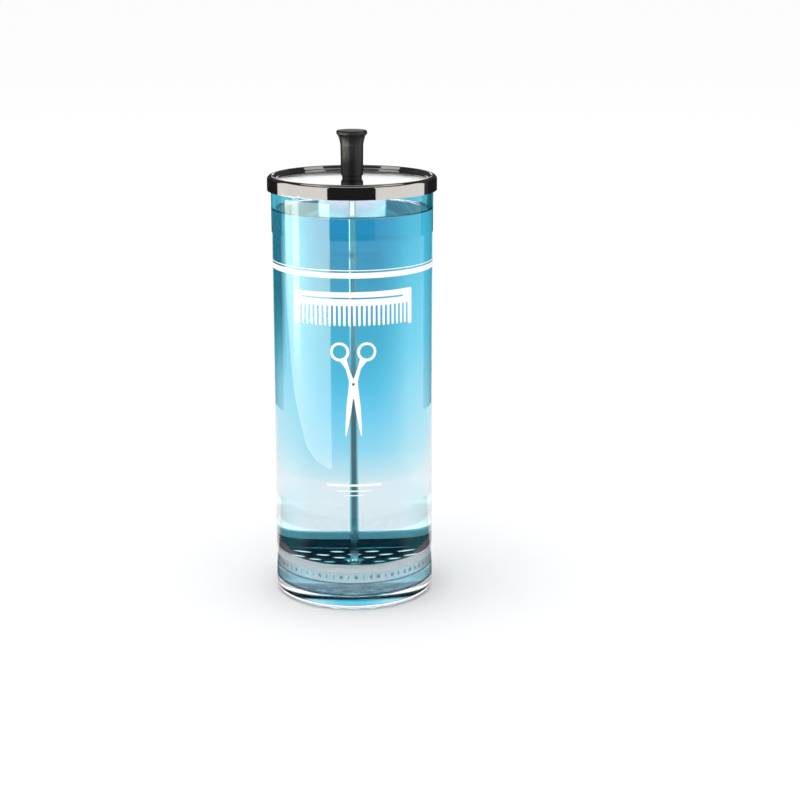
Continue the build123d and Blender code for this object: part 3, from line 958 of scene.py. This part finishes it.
def ring_card(name, radius, z0, z1, a0, a1, colour, strength, n=24):
    """Upright curved card. Angles in degrees from the front (-Y), positive towards +X."""
    bm = bmesh.new()
    cols = []
    for i in range(n + 1):
        a = math.radians(a0 + (a1 - a0) * i / n)
        x, y = radius * math.sin(a), -radius * math.cos(a)
        cols.append((bm.verts.new((x, y, z0)), bm.verts.new((x, y, z1))))
    for (a, b), (c, d) in zip(cols, cols[1:]):
        bm.faces.new((a, c, d, b))
    me = bpy.data.meshes.new(name)
    bm.to_mesh(me)
    bm.free()
    o = bpy.data.objects.new(name, me)
    scene.collection.objects.link(o)
    me.materials.append(stage_mat(name + "_m", colour, strength))
    return o


DARK = (0.5, 0.5, 0.5)
cards = [
    ring_card("dark_front", 1.5, 0.0, 1.3, -33, 31, DARK, 0.03),
    ring_card("cream_left", 1.5, 0.0, 1.3, -118, -33, (1.0, 0.975, 0.92), 0.85),
    ring_card("cream_right", 1.5, 0.0, 1.3, 31, 112, (1.0, 0.975, 0.92), 0.85),
    ring_card("dark_back", 1.5, 0.0, 1.3, 112, 242, DARK, 0.08, 48),
    ring_card("dark_left", 0.5, 0.0, 0.42, -152, -117, DARK, 0.03),
    ring_card("dark_right", 0.5, 0.0, 0.42, 117, 152, DARK, 0.03),
]
for c in cards:
    only(c, glossy=True)
bm = bmesh.new()
v = [bm.verts.new((1.5 * math.cos(2 * math.pi * j / 48), 1.5 * math.sin(2 * math.pi * j / 48), 1.3)) for j in range(48)]
bm.faces.new(v)
me = bpy.data.meshes.new("dark_ceiling")
bm.to_mesh(me)
bm.free()
ceiling = bpy.data.objects.new("dark_ceiling", me)
scene.collection.objects.link(ceiling)
me.materials.append(stage_mat("dark_ceiling_m", DARK, 0.06))
only(ceiling, glossy=True)

# soft ring overhead: what the lid mirrors when it is seen from above
bm = bmesh.new()
v = [[bm.verts.new((r * math.cos(2 * math.pi * j / 48), r * math.sin(2 * math.pi * j / 48), 1.29)) for r in (0.42, 0.80)] for j in range(48)]
for j in range(48):
    p, q = v[j], v[(j + 1) % 48]
    bm.faces.new((p[0], p[1], q[1], q[0]))
me = bpy.data.meshes.new("soft_overhead")
bm.to_mesh(me)
bm.free()
overhead = bpy.data.objects.new("soft_overhead", me)
scene.collection.objects.link(overhead)
me.materials.append(stage_mat("soft_overhead_m", (1.0, 0.99, 0.97), 0.5))
only(overhead, glossy=True)


# dark card lying on the table in front: what the lowest part of the jar's wall mirrors
bm = bmesh.new()
rows = []
for j in range(49):
    a = math.radians(-125 + 250 * j / 48)
    rows.append([bm.verts.new((r * math.sin(a), -r * math.cos(a), 0.0004)) for r in (0.054, 0.236)])
for p, q in zip(rows, rows[1:]):
    bm.faces.new((p[0], p[1], q[1], q[0]))
me = bpy.data.meshes.new("dark_table_card")
bm.to_mesh(me)
bm.free()
table_card = bpy.data.objects.new("dark_table_card", me)
scene.collection.objects.link(table_card)
me.materials.append(stage_mat("dark_table_card_m", (0.3, 0.6, 0.7), 0.05))
only(table_card, glossy=True)


# white window behind: what the flat top of the lid mirrors; its lower edge dips in the middle
me = bpy.data.meshes.new("window_back")
me.from_pydata(
    [(-0.116, 1.44, 0.60), (-0.116, 1.44, 0.4530), (-0.06, 1.44, 0.4475), (0.0, 1.44, 0.4460), (0.06, 1.44, 0.4475), (0.116, 1.44, 0.4530), (0.116, 1.44, 0.60)],
    [],
    [(0, 1, 2, 3, 4, 5, 6)],
)
window = bpy.data.objects.new("window_back", me)
scene.collection.objects.link(window)
me.materials.append(stage_mat("window_back_m", (1, 1, 1), 1.15))
only(window, glossy=True)

EYE_POS = Vector((0.0, -1.111, 0.409))


def landing(xn, z, p1, p2):
    """Where a line from the eye lands on the upright plane through p1 and p2, once the jar's wall has turned it back at (xn radii, height z)."""
    ph = math.asin(xn)
    p = Vector((JR * MM * math.sin(ph), -JR * MM * math.cos(ph), z))
    n = Vector((math.sin(ph), -math.cos(ph), 0))
    d = (p - EYE_POS).normalized()
    r = d - 2 * d.dot(n) * n
    a, b2 = Vector((*p1, 0)), Vector((*p2, 0))
    side_n = Vector((b2.y - a.y, a.x - b2.x, 0))
    t = (a - p).dot(side_n) / r.dot(side_n)
    return p + t * r


def soft_card(name, p1, p2, edge, top, strength, c_top, c_low):
    """Card shaped so that its image in the wall runs from z = top down to the given (xn, z) edge."""
    bm = bmesh.new()
    cols = []
    steps = []
    for (xa, za), (xb, zb) in zip(edge, edge[1:]):
        for i in range(6):
            t = i / 6
            steps.append((xa + (xb - xa) * t, za + (zb - za) * t))
    steps.append(edge[-1])
    for xn, zl in steps:
        cols.append([bm.verts.new(landing(xn, top + (zl - top) * k / 8, p1, p2)) for k in range(9)])
    for a, c in zip(cols, cols[1:]):
        for k in range(8):
            bm.faces.new((a[k], a[k + 1], c[k + 1], c[k]))
    me = bpy.data.meshes.new(name)
    bm.to_mesh(me)
    bm.free()
    o = bpy.data.objects.new(name, me)
    scene.collection.objects.link(o)
    m, nt, b, out = new_mat(name + "_m")
    tc = nt.nodes.new("ShaderNodeTexCoord")
    sp = nt.nodes.new("ShaderNodeSeparateXYZ")
    nt.links.new(tc.outputs["Object"], sp.inputs[0])
    mr = nt.nodes.new("ShaderNodeMapRange")
    mr.inputs["From Min"].default_value = 0.02
    mr.inputs["From Max"].default_value = 0.20
    nt.links.new(sp.outputs["Z"], mr.inputs["Value"])
    r = ramp(nt, mr.outputs[0], [(0.0, c_low), (0.6, c_top)])
    e = nt.nodes.new("ShaderNodeEmission")
    e.inputs["Strength"].default_value = strength
    nt.links.new(r.outputs[0], e.inputs["Color"])
    nt.links.new(e.outputs[0], out.inputs[0])
    m.cycles.emission_sampling = "NONE"
    me.materials.append(m)
    only(o, glossy=True)
    return o


soft_card(
    "strip_left", (-0.175, -0.280), (-0.942, 0.270),
    [(-0.81, 0.175), (-0.80, 0.168), (-0.72, 0.1365), (-0.67, 0.124), (-0.61, 0.111), (-0.57, 0.1045), (-0.47, 0.098), (-0.33, 0.0935), (-0.27, 0.093)],
    0.2585, 8.6, (0.95, 1.0, 0.80), (0.62, 0.48, 0.38),
)

world = bpy.data.worlds.new("soft_world")
scene.world = world
world.use_nodes = True
world.node_tree.nodes["Background"].inputs[0].default_value = (1.0, 1.0, 1.0, 1)
world.node_tree.nodes["Background"].inputs[1].default_value = 1.06


def area(name, loc, target, size, power, colour=(1, 1, 1)):
    d = bpy.data.lights.new(name, "AREA")
    d.shape, d.size, d.size_y, d.energy, d.color = "RECTANGLE", size[0], size[1], power, colour
    o = bpy.data.objects.new(name, d)
    scene.collection.objects.link(o)
    o.location = loc
    o.rotation_mode = "QUATERNION"
    o.rotation_quaternion = (Vector(target) - Vector(loc)).to_track_quat("-Z", "Y")
    o.visible_glossy = False
    o.visible_transmission = False
    return o


area("key_top", (-0.3, -0.2, 1.9), (0, 0, 0.1), (1.8, 1.8), 14)

# camera
cam_data = bpy.data.cameras.new("camera")
cam = bpy.data.objects.new("camera", cam_data)
scene.collection.objects.link(cam)
cam_data.sensor_width = 36.0
cam_data.lens = 80.05
cam_data.clip_start, cam_data.clip_end = 0.02, 60
cam.location = EYE_POS
cam.rotation_euler = (math.radians(90 - 14.36), 0, math.radians(-1.545))
scene.camera = cam

scene.view_settings.view_transform = "Standard"
scene.view_settings.look = "None"
scene.cycles.max_bounces = 24
scene.cycles.transmission_bounces = 20
scene.cycles.glossy_bounces = 8
scene.cycles.diffuse_bounces = 4
scene.cycles.transparent_max_bounces = 8
scene.cycles.sample_clamp_indirect = 8.0
